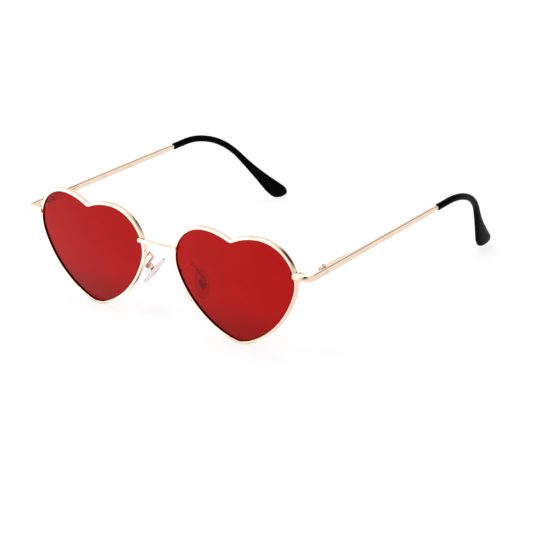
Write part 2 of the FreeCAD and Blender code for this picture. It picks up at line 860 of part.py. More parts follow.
def make_pad_screw():
    """The screw on which the pad rocks."""
    return at_pad(slotted_screw(V(lug_x, box_side, 0), V(lug_x, -box_side, 0), pad_screw_diameter / 2,
                                pad_head_diameter / 2, pad_head_height, Z))


def make_pad_arm():
    """The bent wire from the back of the rim to the pad box."""
    rise = lens_height * arm_foot_share
    foot = eye_point(-outline_half_width(rise) - rim_width / 2, rise, rim_depth)
    start = foot - Y * (rim_depth / 2)
    crown = foot + V(arm_crown_offset, arm_crown_setback, arm_crown_rise)
    loop = foot + V(arm_loop_offset, arm_loop_setback, -arm_loop_drop)
    end = pad_place.multVec(V(box_inner + box_base / 2, 0, 0))
    wire = round_wire(rounded_path([start, crown, loop, end], arm_bend_radius), arm_diameter / 2)
    return largest_solid(wire.common(back_ball).cut(make_pad_box()))


# All pieces: the wearer's left side at +X, and its mirror image on the right

side_pieces = {
    "rim": make_rim(),
    "lens": make_lens(),
    "end_piece": make_end_piece(),
    "upper_closing_block": make_closing_block(1),
    "lower_closing_block": make_closing_block(-1),
    "rim_lock_screw": make_lock_screw(),
    "pad_arm": make_pad_arm(),
    "pad_box": make_pad_box(),
    "pad_screw": make_pad_screw(),
    "pad_core": make_pad_core(),
    "nose_pad": make_nose_pad(),
    "hinge_fork": make_hinge_fork(),
    "hinge_screw": make_hinge_screw(),
    "spring_tongue": make_tongue(),
    "rod_collar": make_collar(),
    "hinge_spring": make_spring(),
    "stop_bush": make_bush(),
    "spring_case": make_spring_case(),
    "temple": make_temple(),
    "temple_tip": make_tip(),
}
nodes = {"bridge": make_bridge()}
for name, shape in side_pieces.items():
    nodes["left_" + name] = shape
    nodes["right_" + name] = shape.mirror(ORIGIN, X)

# The origin lies on the table, under the middle of the whole object
whole = Part.makeCompound(list(nodes.values())).optimalBoundingBox(False, False)
shift = V(0, -(whole.YMin + whole.YMax) / 2, -whole.ZMin)
os.makedirs("parts", exist_ok=True)
for name, shape in nodes.items():
    shape.translate(shift)
    shape.exportStep("parts/" + name + ".step")


def report(name, place):
    """Print a point or a direction of the finished object."""
    print(name, round(place.x, 6), round(place.y, 6), round(place.z, 6))


report("overall size", V(whole.XLength, whole.YLength, whole.ZLength))
report("left hinge pin", hinge_point + shift)
report("left hinge axis", hinge_place.Rotation.multVec(Z))
report("left temple direction", hinge_place.Rotation.multVec(Y))
report("left temple outward", hinge_place.Rotation.multVec(X))
outer_face = V(bar_offset + strip_thickness, mouth_distance / 2, 0)
report("left temple outer face", hinge_place.multVec(outer_face) + shift)
report("left pad screw", pad_place.multVec(V(lug_x, 0, 0)) + shift)
report("left pad screw axis", pad_turn.multVec(Y))
report("left pad centre", pad_centre + shift)
report("left tip bend", hinge_place.multVec(tip_point(tip_straight + bend_length / 2)[0]) + shift)
print("bend of the tip", round(math.degrees(bend_turn), 2))
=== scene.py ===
# %% [markdown]
# # Heart shaped sunglasses with spring hinges
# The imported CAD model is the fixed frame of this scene: it holds every size and every joint.
# Blender adds the looks around it. Each cell makes one piece or one finish, says why it is
# made that way, and prints what it made.

import json
import math

import bmesh
import bpy
from mathutils import Matrix, Vector


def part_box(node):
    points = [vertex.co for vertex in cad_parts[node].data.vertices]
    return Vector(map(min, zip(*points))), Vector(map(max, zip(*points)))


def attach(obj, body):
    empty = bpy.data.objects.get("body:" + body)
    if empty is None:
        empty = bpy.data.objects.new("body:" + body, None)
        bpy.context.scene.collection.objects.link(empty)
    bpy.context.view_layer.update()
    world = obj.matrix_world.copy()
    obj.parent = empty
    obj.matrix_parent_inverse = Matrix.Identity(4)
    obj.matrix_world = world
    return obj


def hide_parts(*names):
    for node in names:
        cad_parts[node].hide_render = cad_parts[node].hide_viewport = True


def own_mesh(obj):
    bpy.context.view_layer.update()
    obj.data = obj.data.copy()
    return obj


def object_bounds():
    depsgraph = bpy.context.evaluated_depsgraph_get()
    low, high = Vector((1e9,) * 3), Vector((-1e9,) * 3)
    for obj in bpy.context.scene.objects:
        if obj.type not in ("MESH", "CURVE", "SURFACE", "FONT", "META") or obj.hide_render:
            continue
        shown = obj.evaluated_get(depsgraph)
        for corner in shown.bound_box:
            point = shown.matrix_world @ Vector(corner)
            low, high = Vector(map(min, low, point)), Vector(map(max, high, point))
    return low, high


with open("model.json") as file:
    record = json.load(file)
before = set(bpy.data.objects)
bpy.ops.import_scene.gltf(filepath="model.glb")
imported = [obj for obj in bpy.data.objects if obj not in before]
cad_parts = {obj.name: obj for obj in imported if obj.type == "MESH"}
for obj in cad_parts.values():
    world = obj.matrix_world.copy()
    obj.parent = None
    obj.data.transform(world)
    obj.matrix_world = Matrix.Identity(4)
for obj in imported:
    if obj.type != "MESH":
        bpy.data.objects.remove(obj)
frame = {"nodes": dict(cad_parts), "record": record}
nodes = frame["nodes"]
mounts = {mount["name"]: mount for mount in frame["record"]["mounts"]}
cad_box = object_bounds()
MM = 0.001
SIDES = {"left": 1, "right": -1}

# %% [markdown]
# ## Camera
# A product picture like this is taken with a long lens from the wearer's left, a little above
# the table. Two angles turn the camera and one place sets it, measured from the middle between
# the nose pads, which the CAD record knows as the nose seat. The long lens keeps the two hearts
# nearly the same size.

# %% Camera at the photograph's angle
CAMERA_TURN = math.radians(36.5659)
CAMERA_RISE = math.radians(20.5328)
CAMERA_FROM_NOSE = Vector((528.8901, -654.0772, 319.1011)) * MM
SENSOR = 36.0
FOCAL_IN_FRAMES = 4.23738
CLIP_START = 10 * MM


def add_object(name, data):
    """A new object in the scene, at the origin."""
    obj = bpy.data.objects.new(name, data)
    bpy.context.scene.collection.objects.link(obj)
    return obj


nose_seat = Vector(mounts["nose_seat"]["pos_m"])
away = Vector((math.sin(CAMERA_TURN) * math.cos(CAMERA_RISE),
               -math.cos(CAMERA_TURN) * math.cos(CAMERA_RISE), math.sin(CAMERA_RISE)))
camera = add_object("camera", bpy.data.cameras.new("camera"))
camera.location = nose_seat + CAMERA_FROM_NOSE
camera.rotation_mode = "QUATERNION"
camera.rotation_quaternion = away.to_track_quat("Z", "Y")
camera.data.sensor_width = SENSOR
camera.data.lens = SENSOR * FOCAL_IN_FRAMES
camera.data.clip_start = CLIP_START
bpy.context.scene.camera = camera
bpy.context.scene.view_settings.view_transform = "Standard"
print("camera lens in mm:", round(camera.data.lens, 2))

# %% [markdown]
# ## Node helpers
# Every material and every Geometry Nodes tree below is built from the same few steps: add a
# node, set its plain values, and link it to the others. A helper for each keeps the cells short.
# An operand may be a number or another node's output, so a sum reads like a sum.

# %% Helpers for node trees


def feed(tree, socket, value):
    """Link an output to a socket, or set the socket to a plain value."""
    if isinstance(value, bpy.types.NodeSocket):
        tree.links.new(value, socket)
    else:
        socket.default_value = value


def add_node(tree, kind, **values):
    """Add a node, and set its properties and its inputs by name."""
    node = tree.nodes.new(kind)
    settings = {name: value for name, value in values.items() if hasattr(node, name)}
    for name, value in settings.items():
        setattr(node, name, value)
    for name, value in values.items():
        if name not in settings:
            feed(tree, node.inputs[name.replace("_", " ")], value)
    return node


def calculate(tree, operation, first, second=0.0):
    """The result of a Math node."""
    node = tree.nodes.new("ShaderNodeMath")
    node.operation = operation
    feed(tree, node.inputs[0], first)
    feed(tree, node.inputs[1], second)
    return node.outputs[0]


def blend_shaders(tree, share, first, second):
    """Two shaders mixed: share is how much of the second one shows."""
    node = tree.nodes.new("ShaderNodeMixShader")
    feed(tree, node.inputs[0], share)
    tree.links.new(first, node.inputs[1])
    tree.links.new(second, node.inputs[2])
    return node.outputs[0]


def rays(tree, *kinds):
    """1 for the named kinds of ray, 0 for all others."""
    light_path = tree.nodes.new("ShaderNodeLightPath")
    total = light_path.outputs[kinds[0]]
    for kind in kinds[1:]:
        total = calculate(tree, "ADD", total, light_path.outputs[kind])
    return calculate(tree, "MINIMUM", total, 1.0)


def add_inputs(tree, kind, *socket_names):
    """Named inputs of one kind on a node group or a Geometry Nodes tree."""
    kind = "NodeSocket" + kind
    return {name: tree.interface.new_socket(name=name, in_out="INPUT", socket_type=kind)
            for name in socket_names}


print("node helpers are ready")

# %% [markdown]
# ## Studio
# The glasses lie on a white table in a white room. Polished metal has hardly any colour of its
# own to show: it shows the room. So the room is part of the finish. The world is white to the
# camera and through the lenses, and gives only a soft, plain light to everything else. Photographers
# put a dark flag beside shiny metal to draw its edges. Here it is a brown spot of the world that
# only reflections see, behind the glasses on the right.

# %% World: white room with a brown flag
FLAG_DIRECTION = Vector((0.42, 0.76, 0.46)).normalized()
FLAG_EDGE, FLAG_FULL = math.cos(math.radians(28)), math.cos(math.radians(7))
WHITE = (1, 1, 1, 1)
FLAG_TONES = ((0.0, WHITE), (0.35, (0.74, 0.57, 0.42, 1)), (0.75, (0.36, 0.22, 0.13, 1)),
              (1.0, (0.07, 0.042, 0.03, 1)))
ROOM_LIGHT = 0.55

world = bpy.data.worlds.new("white room")
bpy.context.scene.world = world
world.use_nodes = True
tree = world.node_tree
tree.nodes.clear()
direction = tree.nodes.new("ShaderNodeTexCoord").outputs["Generated"]
nearness = add_node(tree, "ShaderNodeVectorMath", operation="DOT_PRODUCT")
feed(tree, nearness.inputs[0], direction)
feed(tree, nearness.inputs[1], FLAG_DIRECTION)
inwards = add_node(tree, "ShaderNodeMapRange", interpolation_type="SMOOTHSTEP",
                   Value=nearness.outputs["Value"], From_Min=FLAG_EDGE, From_Max=FLAG_FULL)
flag = add_node(tree, "ShaderNodeValToRGB", Fac=inwards.outputs["Result"])
stops = flag.color_ramp.elements
while len(stops) < len(FLAG_TONES):
    stops.new(0.5)
for stop, (position, tone) in zip(stops, FLAG_TONES):
    stop.position, stop.color = position, tone
room = add_node(tree, "ShaderNodeBackground", Color=WHITE, Strength=ROOM_LIGHT)
mirrored_room = add_node(tree, "ShaderNodeBackground", Color=flag.outputs["Color"], Strength=1.0)
white_room = add_node(tree, "ShaderNodeBackground", Color=WHITE, Strength=1.0)
seen = blend_shaders(tree, rays(tree, "Is Glossy Ray"), room.outputs[0], mirrored_room.outputs[0])
seen = blend_shaders(tree, rays(tree, "Is Camera Ray", "Is Transmission Ray"), seen,
                     white_room.outputs[0])
tree.links.new(seen, tree.nodes.new("ShaderNodeOutputWorld").inputs["Surface"])
print("world nodes:", len(tree.nodes))

# %% [markdown]
# ## Table
# The table is a white sheet that runs out of sight. Four fifths of what the camera sees of it is
# a plain white glow, and one fifth is a real matt surface, which keeps the faint shadows under the
# heart points and the temple tips.

# %% Helpers for materials, and the white table
FLOOR_REACH = 6.0
FLOOR_DROP = 0.02 * MM
GLOW_SHARE = 0.8
TABLE_TONE, TABLE_ROUGHNESS = (0.9, 0.9, 0.9, 1), 0.9


def new_material(name, **values):
    """A material, its node tree and its Principled shader with plain values."""
    material = bpy.data.materials.new(name)
    material.use_nodes = True
    shader = material.node_tree.nodes["Principled BSDF"]
    for socket_name, value in values.items():
        shader.inputs[socket_name.replace("_", " ")].default_value = value
    return material, material.node_tree, shader


def flat_sheet(name, low, high, height):
    """A level rectangle between two corners."""
    mesh = bpy.data.meshes.new(name)
    mesh.from_pydata([(low[0], low[1], height), (high[0], low[1], height),
                      (high[0], high[1], height), (low[0], high[1], height)], [], [(0, 1, 2, 3)])
    sheet = add_object(name, mesh)
    return sheet


floor = flat_sheet("table", (-FLOOR_REACH, -FLOOR_REACH), (FLOOR_REACH, FLOOR_REACH), -FLOOR_DROP)
material, tree, shader = new_material("white table", Base_Color=TABLE_TONE,
                                      Roughness=TABLE_ROUGHNESS)
glow = add_node(tree, "ShaderNodeEmission", Strength=1.0)
looking = rays(tree, "Is Camera Ray", "Is Glossy Ray", "Is Transmission Ray")
share = calculate(tree, "MULTIPLY", looking, GLOW_SHARE)
tree.links.new(blend_shaders(tree, share, shader.outputs[0], glow.outputs[0]),
               tree.nodes["Material Output"].inputs["Surface"])
floor.data.materials.append(material)
print("table reach in m:", FLOOR_REACH)

# %% [markdown]
# ## Lamps and cards
# Two large softboxes give plain soft light. Three cards lie on the table, and only reflections
# see them. The bright one, in front, turns the front of the rims white and lays a faint haze on
# the lenses. It falls off to the right, so the right side of each lens looks deeper. The small
# dark one draws a dark spot where the end piece bends back. The brown one under the bridge keeps
# the lower edges there from melting into the white.

# %% Softboxes and cards
CARD_HEIGHT = 0.3 * MM
BRIGHT_CARD = (-2.0, -2.0), (0.047, -0.0768)
BRIGHT_LEFT, BRIGHT_RIGHT = (-0.02, 1.85), (0.045, 1.4)
DARK_CARD = (0.0490, -0.30), (0.115, -0.1480)
DARK_LEVEL = 0.02
SHADE_CARD = (-0.018, -0.090), (0.001, -0.058)
SHADE_TONE = (0.50, 0.27, 0.16, 1)
SHADE_HEIGHT = 2 * CARD_HEIGHT
TOP_SOFTBOX = (-0.2, -0.1, 1.4), 1.0, 14
LEFT_SOFTBOX = (-1.1, -0.6, 0.7), 0.7, 7


def softbox(name, place, size, power):
    """A square area lamp that points at the middle of the glasses."""
    lamp = bpy.data.lights.new(name, "AREA")
    lamp.size = size
    lamp.energy = power
    box = add_object(name, lamp)
    box.location = place
    box.rotation_mode = "QUATERNION"
    from_middle = Vector(place) - (cad_box[0] + cad_box[1]) / 2
    box.rotation_quaternion = from_middle.to_track_quat("Z", "Y")


softbox("top softbox", *TOP_SOFTBOX)
softbox("left softbox", *LEFT_SOFTBOX)


def reflection_card(name, low, high, height=CARD_HEIGHT):
    """A card on the table that only reflections see, with its node tree and its glow."""
    card = flat_sheet(name, low, high, height)
    card.visible_camera = False
    card.visible_diffuse = False
    card.visible_transmission = False
    card.visible_shadow = False
    material, tree, _ = new_material(name)
    glow = tree.nodes.new("ShaderNodeEmission")
    tree.links.new(glow.outputs[0], tree.nodes["Material Output"].inputs["Surface"])
    card.data.materials.append(material)
    return tree, glow


tree, glow = reflection_card("bright card", *BRIGHT_CARD)
place = tree.nodes.new("ShaderNodeTexCoord").outputs["Object"]
across = add_node(tree, "ShaderNodeSeparateXYZ", Vector=place)
fall = add_node(tree, "ShaderNodeMapRange", Value=across.outputs["X"], From_Min=BRIGHT_LEFT[0],
                From_Max=BRIGHT_RIGHT[0], To_Min=BRIGHT_LEFT[1], To_Max=BRIGHT_RIGHT[1])
feed(tree, glow.inputs["Strength"], fall.outputs["Result"])
tree, glow = reflection_card("dark card", *DARK_CARD)
feed(tree, glow.inputs["Strength"], DARK_LEVEL)
tree, glow = reflection_card("shade card", *SHADE_CARD, SHADE_HEIGHT)
feed(tree, glow.inputs["Color"], SHADE_TONE)

# %% [markdown]
# ## A shared finish: handling marks
# No polished thing is perfectly even. Buffing leaves a faint long wave, fingers leave soft
# smears, and the finest scratches take a little of the shine. All finishes here share these marks,
# so they are one shader node group. Its outputs are plain numbers, and each material decides what
# they change. The sizes are in marks per metre, on Object coordinates.

# %% Node group: handling marks
SMEAR_DETAIL, SMEAR_ROUGHNESS = 3.0, 0.6
SMEAR_FROM, SMEAR_TO = 0.35, 0.68
SCRATCH_DETAIL, SCRATCH_ROUGHNESS = 4.0, 0.7
SCRATCH_HEIGHT = 0.3

marks = bpy.data.node_groups.new("handling marks", "ShaderNodeTree")
add_inputs(marks, "Vector", "Place", "Stretch")
add_inputs(marks, "Float", "Smears per Metre", "Scratches per Metre")
for socket_name in ("Smear", "Scratch", "Height"):
    marks.interface.new_socket(name=socket_name, in_out="OUTPUT", socket_type="NodeSocketFloat")
given = marks.nodes.new("NodeGroupInput")
result = marks.nodes.new("NodeGroupOutput")
smear = add_node(marks, "ShaderNodeTexNoise", Vector=given.outputs["Place"],
                 Scale=given.outputs["Smears per Metre"], Detail=SMEAR_DETAIL,
                 Roughness=SMEAR_ROUGHNESS)
soft_smear = add_node(marks, "ShaderNodeMapRange", interpolation_type="SMOOTHSTEP",
                      Value=smear.outputs["Fac"], From_Min=SMEAR_FROM, From_Max=SMEAR_TO)
drawn_out = add_node(marks, "ShaderNodeVectorMath", operation="MULTIPLY")
feed(marks, drawn_out.inputs[0], given.outputs["Place"])
feed(marks, drawn_out.inputs[1], given.outputs["Stretch"])
scratch = add_node(marks, "ShaderNodeTexNoise", Vector=drawn_out.outputs["Vector"],
                   Scale=given.outputs["Scratches per Metre"], Detail=SCRATCH_DETAIL,
                   Roughness=SCRATCH_ROUGHNESS)
marks.links.new(soft_smear.outputs["Result"], result.inputs["Smear"])
marks.links.new(scratch.outputs["Fac"], result.inputs["Scratch"])
fine = calculate(marks, "MULTIPLY", scratch.outputs["Fac"], SCRATCH_HEIGHT)
marks.links.new(calculate(marks, "ADD", fine, smear.outputs["Fac"]), result.inputs["Height"])
print("handling marks group nodes:", len(marks.nodes))

# %% [markdown]
# ## Using the marks
# Each finish places the group with its own scale. A smear moves the base colour between two close
# tones, a scratch and a smear together move the roughness, and the height makes a very shallow bump.

# %% Helper: put handling marks into a material
SCRATCH_WEAR, SMEAR_WEAR = 0.6, 0.4
WEAR_FROM, WEAR_TO = 0.2, 0.8
MARK_DEPTH = 0.01 * MM


def add_marks(tree, shader, tones, dullness_and_painted_shade, smears, scratches, bump, stretch=(1, 1, 1)):
    """Vary a material's colour, roughness and normal with the handling marks."""
    place = tree.nodes.new("ShaderNodeTexCoord").outputs["Object"]
    group = tree.nodes.new("ShaderNodeGroup")
    group.node_tree = marks
    feed(tree, group.inputs["Place"], place)
    feed(tree, group.inputs["Smears per Metre"], smears)
    feed(tree, group.inputs["Scratches per Metre"], scratches)
    feed(tree, group.inputs["Stretch"], stretch)
    colour = add_node(tree, "ShaderNodeMix", data_type="RGBA")
    feed(tree, colour.inputs["Factor"], group.outputs["Smear"])
    for socket_name, tone in zip(("A", "B"), tones):
        socket = next(s for s in colour.inputs if s.name == socket_name and s.type == "RGBA")
        feed(tree, socket, tone)
    tinted = next(s for s in colour.outputs if s.type == "RGBA")
    feed(tree, shader.inputs["Base Color"], tinted)
    worn = calculate(tree, "ADD", calculate(tree, "MULTIPLY", group.outputs["Scratch"], SCRATCH_WEAR),
                     calculate(tree, "MULTIPLY", group.outputs["Smear"], SMEAR_WEAR))
    rough = add_node(tree, "ShaderNodeMapRange", Value=worn, From_Min=WEAR_FROM, From_Max=WEAR_TO,
                     To_Min=dullness_and_painted_shade[0], To_Max=dullness_and_painted_shade[1])
    feed(tree, shader.inputs["Roughness"], rough.outputs["Result"])
    relief = add_node(tree, "ShaderNodeBump", Strength=bump, Distance=MARK_DEPTH,
                      Height=group.outputs["Height"])
    feed(tree, shader.inputs["Normal"], relief.outputs["Normal"])
    return tinted, place


print("handling marks are placed by add_marks")

# %% [markdown]
# ## Metal finishes
# The frame is plated in a pale rose gold and polished to a mirror. Its colour is in the metal, so
# the Principled shader is fully metallic, and two close tones keep the plating alive. The inner
# side of the rims gets a near-black metal: painted shade, for the shaded groove round the lens.
# The screws and the spring are plain turned steel, with marks drawn out along their length.

# %% Pale rose gold and turned steel
GOLD_TONES = (0.88, 0.71, 0.56, 1), (0.84, 0.66, 0.50, 1)
# Painted shade: near-black metal tones for the inner side of the rims, where the groove is in shade.
PAINTED_SHADE_TONES = (0.045, 0.028, 0.022, 1), (0.03, 0.018, 0.015, 1)
STEEL_TONES = (0.72, 0.69, 0.64, 1), (0.63, 0.60, 0.56, 1)
STEEL_STRETCH = (1, 1, 8)

gold, tree, shader = new_material("pale rose gold", Metallic=1.0)
add_marks(tree, shader, GOLD_TONES, dullness_and_painted_shade=(0.07, 0.15), smears=160, scratches=2600, bump=0.04)
# The inner side of the rims: near-black, rough metal, painted shade for the groove round the lens.
inside, tree, shader = new_material("painted shade in the groove", Metallic=1.0)
add_marks(tree, shader, PAINTED_SHADE_TONES, dullness_and_painted_shade=(0.30, 0.45), smears=400, scratches=3000, bump=0.05)
steel, tree, shader = new_material("turned steel", Metallic=1.0)
add_marks(tree, shader, STEEL_TONES, dullness_and_painted_shade=(0.18, 0.34), smears=500, scratches=3000, bump=0.15,
          stretch=STEEL_STRETCH)
print("metals:", gold.name, "with", inside.name, "and", steel.name)

# %% [markdown]
# ## Moulded finishes
# The temple tips are black sleeves with a soft moulded gloss: a dark base, a low specular level
# and a fairly broad highlight. The pad cores are satin plastic.

# %% Black sleeve and satin core
BLACK_TONES = (0.0010, 0.0009, 0.0011, 1), (0.0022, 0.0019, 0.0022, 1)
SATIN_TONES = (0.70, 0.52, 0.47, 1), (0.62, 0.45, 0.40, 1)

black, tree, shader = new_material("black sleeve", Specular_IOR_Level=0.009)
add_marks(tree, shader, BLACK_TONES, dullness_and_painted_shade=(0.14, 0.24), smears=140, scratches=3200, bump=0.06)
satin, tree, shader = new_material("satin core")
add_marks(tree, shader, SATIN_TONES, dullness_and_painted_shade=(0.30, 0.45), smears=400, scratches=3000, bump=0.1)
print("moulded finishes:", black.name, "and", satin.name)

# %% [markdown]
# ## Clear finishes
# The lens is see-through plastic, dyed red. Towards the point of the heart its red is darker:
# painted shade, for the shaded table seen through the lower lens. The reflection is weak, as on a
# lens with an anti-glare coat, so the index of refraction is set low. The pads are milky silicone:
# light goes through them, but it is scattered on the way.

# %% Red lens and milky silicone
LENS_TONES = (0.44, 0.0032, 0.0028, 1), (0.425, 0.0028, 0.0024, 1)
# Painted shade: from this height down the lens red darkens towards the point of the heart.
LENS_LOW, LENS_HIGH = 3 * MM, 20 * MM
LENS_POINT_SHADE = 0.66
SILICONE_TONES = (0.91, 0.85, 0.86, 1), (0.85, 0.77, 0.79, 1)

lens_red, tree, shader = new_material("red lens with painted shade", Transmission_Weight=1.0, IOR=1.16)
tinted, place = add_marks(tree, shader, LENS_TONES, dullness_and_painted_shade=(0.0, 0.03), smears=60, scratches=900,
                          bump=0.0)
# Painted shade: the red is scaled down towards the point, for the shaded table seen through the lens.
rise = add_node(tree, "ShaderNodeSeparateXYZ", Vector=place).outputs["Z"]
painted_point_shade = add_node(tree, "ShaderNodeMapRange", interpolation_type="SMOOTHSTEP", Value=rise,
               From_Min=LENS_LOW, From_Max=LENS_HIGH, To_Min=LENS_POINT_SHADE, To_Max=1.0)
deeper = add_node(tree, "ShaderNodeVectorMath", operation="SCALE", Scale=painted_point_shade.outputs["Result"])
feed(tree, deeper.inputs[0], tinted)
feed(tree, shader.inputs["Base Color"], deeper.outputs["Vector"])
silicone, tree, shader = new_material("milky silicone", Transmission_Weight=0.88, IOR=1.24)
add_marks(tree, shader, SILICONE_TONES, dullness_and_painted_shade=(0.08, 0.16), smears=260, scratches=2200, bump=0.03)
print("clear finishes:", lens_red.name, "and", silicone.name)

# %% [markdown]
# ## Dress the CAD pieces
# Most pieces of the frame are stamped, turned or bent metal, and the CAD solids have their true
# shapes, so they stay and get a finish by the material slot that the record names. Their meshes
# are loose triangles: a Weld joins them and an Edge Split keeps the machined edges crisp under
# smooth shading. Both are modifiers, so the CAD meshes themselves are not touched.

# %% Finishes on the CAD nodes
CRISP_ANGLE = math.radians(28)
WELD_REACH = 0.001 * MM

finishes = {"gold_metal": gold, "red_lens": lens_red, "black_tip": black, "clear_pad": silicone,
            "pad_core": satin, "steel": steel}
slots = {part["node"]: part["material_slot"] for part in frame["record"]["subparts"]}
for name, obj in nodes.items():
    obj.data.materials.clear()
    obj.data.materials.append(finishes[slots[name]])
    obj.data.polygons.foreach_set("use_smooth", [True] * len(obj.data.polygons))
    obj.modifiers.new("weld", "WELD").merge_threshold = WELD_REACH
    obj.modifiers.new("crisp edges", "EDGE_SPLIT").split_angle = CRISP_ANGLE
print("dressed CAD nodes:", len(nodes))

# %% [markdown]
# ## The heart line
# A rim is one length of grooved wire, bent round a former into a heart. Half of the heart is five
# arcs that run into each other without a kink: notch, crown, lobe, flank and point. The other
# half is its mirror image. The line here runs along the middle of the wire. It starts under the
# slit behind the end piece, where the real wire starts, and ends above it.

# %% Heart line as one open path
LENS_HALF_WIDTH = 27.5
LENS_HALF_HEIGHT = 22.65
LOBE, CROWN, FLANK, POINT, NOTCH = 15.3, 24.5, 41.1, 10.0, 3.0
HEART_LEAN = math.radians(1.33)
RIM_WIDTH = 1.1
RIM_DEPTH = 2.0
SLIT = 0.3
SLIT_RISE = 11.1891
PATH_STEP = 0.35

lobe = Vector((LENS_HALF_WIDTH - LOBE, LENS_HALF_HEIGHT - LOBE))
crown = Vector((lobe.x, LENS_HALF_HEIGHT - CROWN))
point = Vector((0, POINT - LENS_HALF_HEIGHT))
notch = Vector((0, crown.y + math.sqrt((CROWN + NOTCH) ** 2 - crown.x ** 2)))


def heading(start, end):
    """The direction from one point to another, in radians."""
    return math.atan2(end.y - start.y, end.x - start.x)


def flank_middle():
    """The middle of the flank's arc, which touches the lobe and the point."""
    span = lobe - point
    to_lobe, to_point = FLANK - LOBE, FLANK - POINT
    along = (span.length ** 2 + to_point ** 2 - to_lobe ** 2) / (2 * span.length)
    across = math.sqrt(to_point ** 2 - along ** 2)
    ahead = span.normalized()
    return point + ahead * along + Vector((-ahead.y, ahead.x)) * across


def heart_line(grow):
    """Points of the closed heart, clockwise from the notch, moved outwards by grow."""
    flank = flank_middle()
    up, down = math.pi / 2, -math.pi / 2
    arcs = ((notch, NOTCH - grow, down, heading(notch, crown)),
            (crown, CROWN + grow, heading(crown, notch), up),
            (lobe, LOBE + grow, up, heading(flank, lobe)),
            (flank, FLANK + grow, heading(flank, lobe), heading(flank, point)),
            (point, POINT + grow, heading(flank, point), down))
    half = []
    for middle, radius, start, end in arcs:
        count = math.ceil(abs(end - start) * radius / PATH_STEP)
        for i in range(count):
            angle = start + (end - start) * i / count
            half.append(middle + radius * Vector((math.cos(angle), math.sin(angle))))
    tip = point + Vector((0, -POINT - grow))
    other = [Vector((-p.x, p.y)) for p in half[:0:-1]]
    lean = Matrix.Rotation(HEART_LEAN, 2)
    return [lean @ p for p in half + [tip] + other]


def cut_at_slit(line):
    """The closed line opened at the slit on its outer side."""
    below = next(i for i, p in enumerate(line)
                 if p.x > 0 and p.y < SLIT_RISE and line[i - 1].y >= SLIT_RISE)
    before, after = line[below - 1], line[below]
    gap = before.lerp(after, (before.y - SLIT_RISE) / (before.y - after.y))
    line = line[below:] + line[:below]
    line = [p for p in line if (p - gap).length > SLIT]
    half_gap = SLIT / 2
    first, last = (gap + (p - gap).normalized() * half_gap for p in (line[0], line[-1]))
    return [first] + line + [last]


heart = cut_at_slit(heart_line(RIM_WIDTH / 2))
length = sum((b - a).length for a, b in zip(heart, heart[1:]))
print("heart line:", len(heart), "points,", round(length, 1), "mm of wire")

# %% [markdown]
# ## Rim wire by Geometry Nodes
# The rule of the rim is simple: one section along one line, then the flat heart pressed on a
# large ball, which gives the front its curve. A Geometry Nodes tree says just that, and its sizes
# are named inputs, so one tree makes any wire rim. The section comes first. Eight corners make
# it, with the groove that holds the lens, and Fillet Curve rounds the outer four. The corners of the
# groove also carry a number that marks the faces between them for painted shade.

# %% Tree: section of the grooved wire
EDGE_STEPS = 4

wire_tree = bpy.data.node_groups.new("grooved rim wire", "GeometryNodeTree")
wire_inputs = {**add_inputs(wire_tree, "Geometry", "Line"),
               **add_inputs(wire_tree, "Float", "Width", "Depth", "Edge", "Groove Front",
                            "Groove Back", "Groove Depth", "Front Radius"),
               **add_inputs(wire_tree, "Material", "Finish", "Painted Shade Finish")}
wire_tree.interface.new_socket(name="Wire", in_out="OUTPUT", socket_type="NodeSocketGeometry")
given = wire_tree.nodes.new("NodeGroupInput").outputs

outer = calculate(wire_tree, "MULTIPLY", given["Width"], 0.5)
inner = calculate(wire_tree, "MULTIPLY", given["Width"], -0.5)
groove = calculate(wire_tree, "ADD", inner, given["Groove Depth"])
# The last number of each corner is 1 on the groove and 0 elsewhere: it marks the faces that get
# painted shade.
corners = ((0.0, outer, True, 0.0), (given["Depth"], outer, True, 0.0),
           (given["Depth"], inner, True, 0.0), (given["Groove Back"], inner, False, 1.0),
           (given["Groove Back"], groove, False, 1.0), (given["Groove Front"], groove, False, 1.0),
           (given["Groove Front"], inner, False, 1.0), (0.0, inner, True, 0.0))


def by_index(tree, data_type, values):
    """A value for each point, picked by the point's number."""
    switch = add_node(tree, "GeometryNodeIndexSwitch", data_type=data_type)
    while len(switch.index_switch_items) < len(values):
        switch.index_switch_items.new()
    feed(tree, switch.inputs["Index"], tree.nodes.new("GeometryNodeInputIndex").outputs["Index"])
    for i, value in enumerate(values):
        feed(tree, switch.inputs[i + 1], value)
    return switch.outputs[0]


places = [add_node(wire_tree, "ShaderNodeCombineXYZ", X=x, Y=y).outputs[0] for x, y, _, _ in corners]
radii = [given["Edge"] if rounded else 0.0 for _, _, rounded, _ in corners]
section = add_node(wire_tree, "GeometryNodePoints", Count=len(corners),
                   Position=by_index(wire_tree, "VECTOR", places))
section = add_node(wire_tree, "GeometryNodePointsToCurves", Points=section.outputs[0])
section = add_node(wire_tree, "GeometryNodeSetSplineCyclic", Geometry=section.outputs[0], Cyclic=True)
section = add_node(wire_tree, "GeometryNodeCaptureAttribute", domain="POINT",
                   Geometry=section.outputs[0])
# Painted shade mask: the corners' number is captured here, before the fillet adds points.
section.capture_items.new("FLOAT", "Dull")
painted_shade_marks = [shade_mark for _, _, _, shade_mark in corners]
feed(wire_tree, section.inputs["Dull"], by_index(wire_tree, "FLOAT", painted_shade_marks))
dullness_and_painted_shade = section.outputs["Dull"]
section = add_node(wire_tree, "GeometryNodeFilletCurve", mode="POLY", Curve=section.outputs[0],
                   Count=EDGE_STEPS, Radius=by_index(wire_tree, "FLOAT", radii))
print("section of the wire:", len(corners), "corners")

# %% [markdown]
# ## The wire on its ball
# Curve to Mesh draws the section along the heart, and Set Position presses the flat wire on the
# ball: each point moves back by the depth of the ball's cap at its distance from the middle. The
# faces between the marked groove corners then get the near-black metal: painted shade.

# %% Tree: wire along a line, pressed on a ball
PAINTED_SHADE_FROM = 0.4

